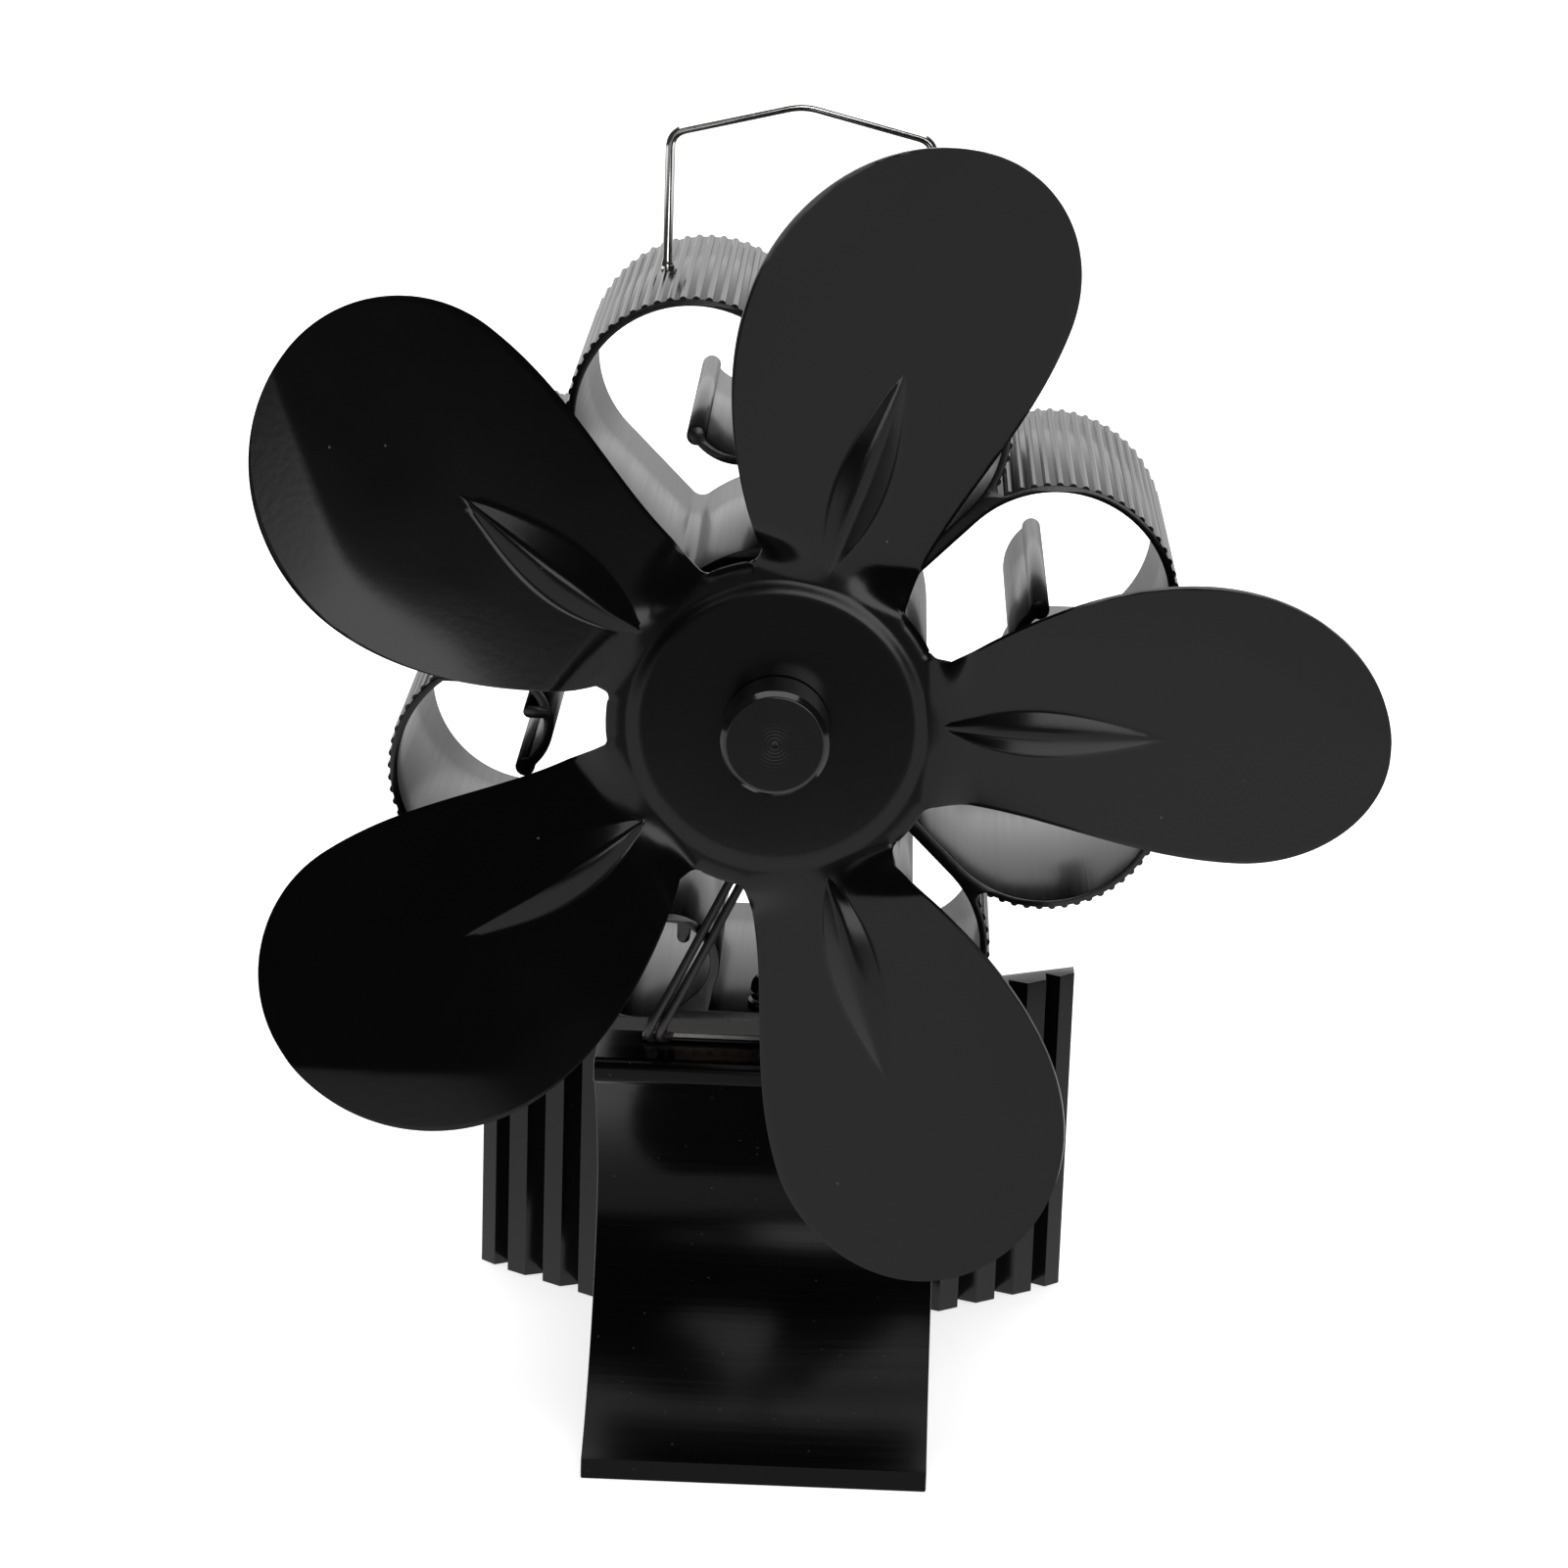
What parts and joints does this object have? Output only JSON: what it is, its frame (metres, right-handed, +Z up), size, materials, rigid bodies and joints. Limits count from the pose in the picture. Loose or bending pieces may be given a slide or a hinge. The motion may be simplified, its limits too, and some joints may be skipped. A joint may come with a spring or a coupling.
{
  "type": "stove fan",
  "caption": "Heat-driven fan for a stove top: pressed blade wheel, petal-shaped finned cooler and a tongue-fronted stand with a ribbed rear block and a wire handle.",
  "frame": {"origin": "on the sole of the stand, under the middle of the cooler's front face", "axes": "+X to the right as seen from the fan's side, +Y to the back, +Z up; the fan turns about Y"},
  "size_m": [0.1681, 0.1083, 0.2118],
  "materials": {
    "base_bracket": "black anodised extrusion",
    "rear_fin_block": "black anodised extrusion",
    "fin_block_screw_left": "blackened steel",
    "fin_block_screw_right": "blackened steel",
    "thermal_pad_lower": "graphite sheet",
    "module_hot_plate": "white alumina ceramic",
    "module_pellets": "soldered pellets and copper strips",
    "module_cold_plate": "white alumina ceramic",
    "thermal_pad_upper": "graphite sheet",
    "heat_sink": "black anodised extrusion, knurled outside",
    "clamp_bolt_front": "blackened steel",
    "clamp_bolt_rear": "blackened steel",
    "clamp_lock_washer_front": "blackened steel",
    "clamp_lock_washer_rear": "blackened steel",
    "clamp_washer_front": "blackened steel",
    "clamp_washer_rear": "blackened steel",
    "motor_strap": "blackened steel",
    "motor_can": "plated steel",
    "motor_screw_left": "plated steel",
    "motor_screw_right": "plated steel",
    "motor_magnet_left": "ferrite",
    "motor_magnet_right": "ferrite",
    "motor_bearing_front": "sintered bronze",
    "motor_bearing_rear": "sintered bronze",
    "motor_end_cap": "moulded nylon",
    "motor_armature": "steel core with copper windings",
    "motor_commutator": "copper",
    "motor_brush_left": "carbon",
    "motor_brush_right": "carbon",
    "motor_terminal_left": "tinned brass",
    "motor_terminal_right": "tinned brass",
    "fan_rotor": "gloss black on pressed aluminium sheet",
    "hub_bushing": "black anodised",
    "hub_knob": "black anodised, turned rings on its face",
    "motor_shaft": "ground steel",
    "carry_handle": "polished steel wire",
    "lead_negative": "black sleeved wire",
    "lead_positive": "black sleeved wire"
  },
  "bodies": {
    "stand": {"base_bracket": "base_bracket", "rear_fin_block": "rear_fin_block", "fin_block_screw_left": "fin_block_screw_left", "fin_block_screw_right": "fin_block_screw_right", "thermal_pad_lower": "thermal_pad_lower", "module_hot_plate": "module_hot_plate", "module_pellets": "module_pellets", "module_cold_plate": "module_cold_plate", "thermal_pad_upper": "thermal_pad_upper", "heat_sink": "heat_sink", "clamp_bolt_front": "clamp_bolt_front", "clamp_bolt_rear": "clamp_bolt_rear", "clamp_lock_washer_front": "clamp_lock_washer_front", "clamp_lock_washer_rear": "clamp_lock_washer_rear", "clamp_washer_front": "clamp_washer_front", "clamp_washer_rear": "clamp_washer_rear", "motor_strap": "motor_strap", "motor_can": "motor_can", "motor_screw_left": "motor_screw_left", "motor_screw_right": "motor_screw_right", "motor_magnet_left": "motor_magnet_left", "motor_magnet_right": "motor_magnet_right", "motor_bearing_front": "motor_bearing_front", "motor_bearing_rear": "motor_bearing_rear", "motor_end_cap": "motor_end_cap", "motor_brush_left": "motor_brush_left", "motor_brush_right": "motor_brush_right", "motor_terminal_left": "motor_terminal_left", "motor_terminal_right": "motor_terminal_right", "carry_handle": "carry_handle", "lead_negative": "lead_negative", "lead_positive": "lead_positive"},
    "rotor": {"fan_rotor": "fan_rotor", "hub_bushing": "hub_bushing", "hub_knob": "hub_knob", "motor_shaft": "motor_shaft", "motor_armature": "motor_armature", "motor_commutator": "motor_commutator"}
  },
  "joints": [
    {"name": "rotor_spin", "type": "hinge", "parent": "stand", "child": "rotor", "pos_m": [0, 0, 0.1252], "axis": [0, 1, 0], "continuous": true}
  ]
}
